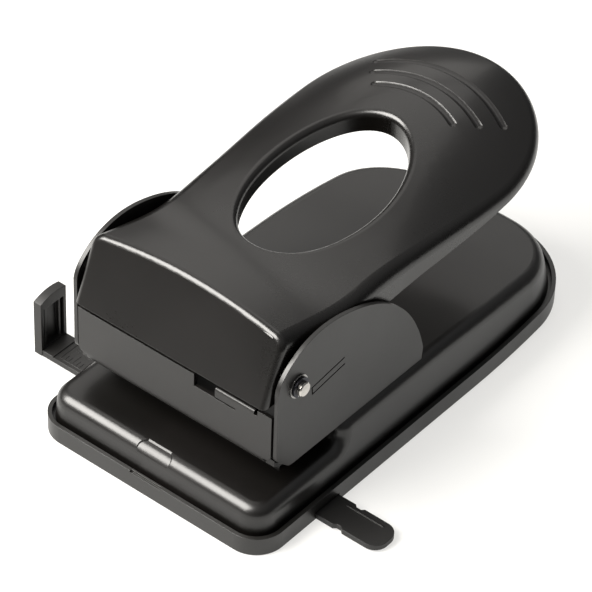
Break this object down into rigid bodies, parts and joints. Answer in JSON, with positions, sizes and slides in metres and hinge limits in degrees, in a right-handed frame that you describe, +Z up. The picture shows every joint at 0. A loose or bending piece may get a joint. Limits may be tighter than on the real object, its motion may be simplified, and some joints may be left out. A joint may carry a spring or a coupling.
{
  "type": "office hole punch",
  "caption": "Office punch with paired cutters for ring-binder holes, pressed-steel lever with finger hole, sliding paper guide and lift-off chip tray.",
  "frame": {"origin": "middle of the tray's length and width, on the plane its rubber feet stand on", "axes": "+Z up, +Y from the paper entry towards the rear end of the handle, X across, the upright of the paper guide at -X"},
  "size_m": [0.1974, 0.2448, 0.1134],
  "materials": {
    "tray_plastic": "matt moulded, fine grain",
    "foot_rubber": "matt",
    "leaf_steel": "cold rolled",
    "guide_plastic": "satin moulded",
    "pan_enamel": "gloss black enamel",
    "die_steel": "ground",
    "rivet_steel": "zinc plated",
    "frame_enamel": "satin black enamel",
    "bush_steel": "turned",
    "pin_nickel": "bright nickel plated",
    "ring_steel": "phosphated spring steel",
    "stop_rubber": "matt",
    "punch_steel": "hardened and ground",
    "carrier_steel": "zinc plated",
    "spring_steel": "drawn wire",
    "handle_enamel": "satin to gloss black enamel"
  },
  "bodies": {
    "tray": {"chip_tray": "tray_plastic", "tray_feet": "foot_rubber", "guide_leaf": "leaf_steel"},
    "guide": {"paper_guide": "guide_plastic"},
    "base": {"base_pan": "pan_enamel", "die_plate": "die_steel", "die_rivets": "rivet_steel", "punch_frame": "frame_enamel", "frame_rivets": "rivet_steel", "guide_bushes": "bush_steel", "pivot_pin": "pin_nickel", "pivot_washers": "ring_steel", "pivot_rings": "ring_steel", "spacer_sleeves": "bush_steel", "bump_stops": "stop_rubber"},
    "handle": {"handle_shell": "handle_enamel", "press_frame": "carrier_steel", "press_rod": "punch_steel", "shell_rivets": "rivet_steel"},
    "punches": {"punch_carrier": "carrier_steel", "punch_pin_left": "punch_steel", "punch_pin_right": "punch_steel", "punch_rings": "ring_steel", "punch_spring_left": "spring_steel", "punch_spring_right": "spring_steel"}
  },
  "joints": [
    {"name": "guide_slide", "type": "slide", "parent": "tray", "child": "guide", "axis": [1, 0, 0], "range_m": [-0.056, 0.022]},
    {"name": "tray_release", "type": "slide", "parent": "tray", "child": "base", "axis": [0, 0, 1], "range_m": [0, 0.012]},
    {"name": "handle_hinge", "type": "hinge", "parent": "base", "child": "handle", "pos_m": [0, -0.091, 0.0772], "axis": [-1, 0, 0], "range_deg": [0, 16.5]},
    {"name": "punch_slide", "type": "slide", "parent": "base", "child": "punches", "axis": [0, 0, -1], "range_m": [0, 0.0088], "stiffness_N_per_m": 2400, "springref_m": -0.009, "deforming": ["punch_spring_left", "punch_spring_right"]}
  ],
  "couplings": [
    {"joint": "punch_slide", "follows": "handle_hinge", "m_per_rad": 0.0286}
  ]
}
